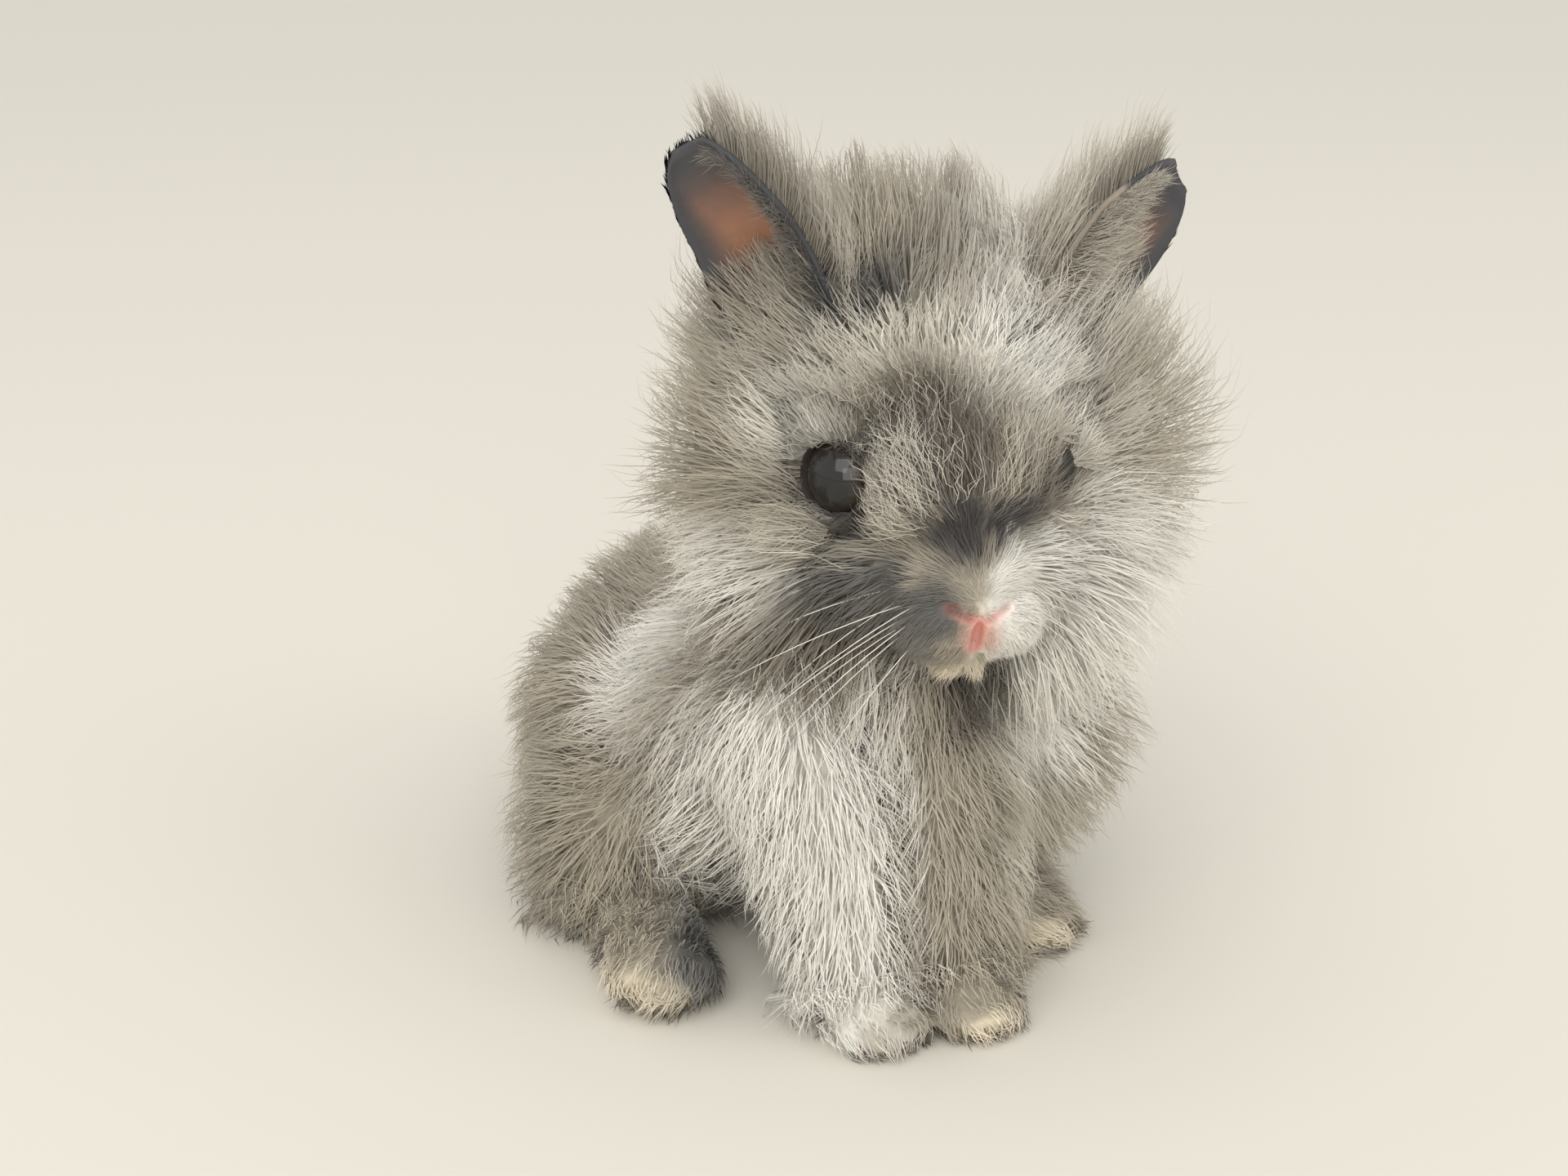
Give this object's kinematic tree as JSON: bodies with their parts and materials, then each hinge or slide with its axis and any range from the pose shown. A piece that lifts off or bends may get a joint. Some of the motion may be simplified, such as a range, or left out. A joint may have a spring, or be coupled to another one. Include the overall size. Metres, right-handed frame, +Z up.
{
  "type": "lionhead rabbit",
  "caption": "Young lionhead rabbit sitting on all four feet with its head turned, a still life-size model for display.",
  "frame": {"origin": "middle of the bounding box's base, on the floor under the body", "axes": "+Z up, -Y the way the body faces, +X the animal's left"},
  "size_m": [0.1176, 0.1477, 0.1488],
  "materials": {
    "grey_coat": "soft long fur, blue-grey shading to grey-brown",
    "white_coat": "soft white fur",
    "eye": "wet, glossy",
    "ear": "thin skin under short velvety fur",
    "nose": "bare pink skin",
    "claw": "horn",
    "whisker": "stiff hair"
  },
  "bodies": {
    "root": {"head": "grey_coat", "neck": "grey_coat", "torso": "grey_coat", "tail": "grey_coat", "eye_left": "eye", "eye_right": "eye", "ear_left": "ear", "ear_right": "ear", "hind_leg_left": "grey_coat", "hind_leg_right": "grey_coat", "hind_foot_left": "grey_coat", "hind_foot_right": "grey_coat", "foreleg_left": "white_coat", "foreleg_right": "white_coat", "forepaw_left": "white_coat", "forepaw_right": "white_coat"}
  },
  "joints": []
}
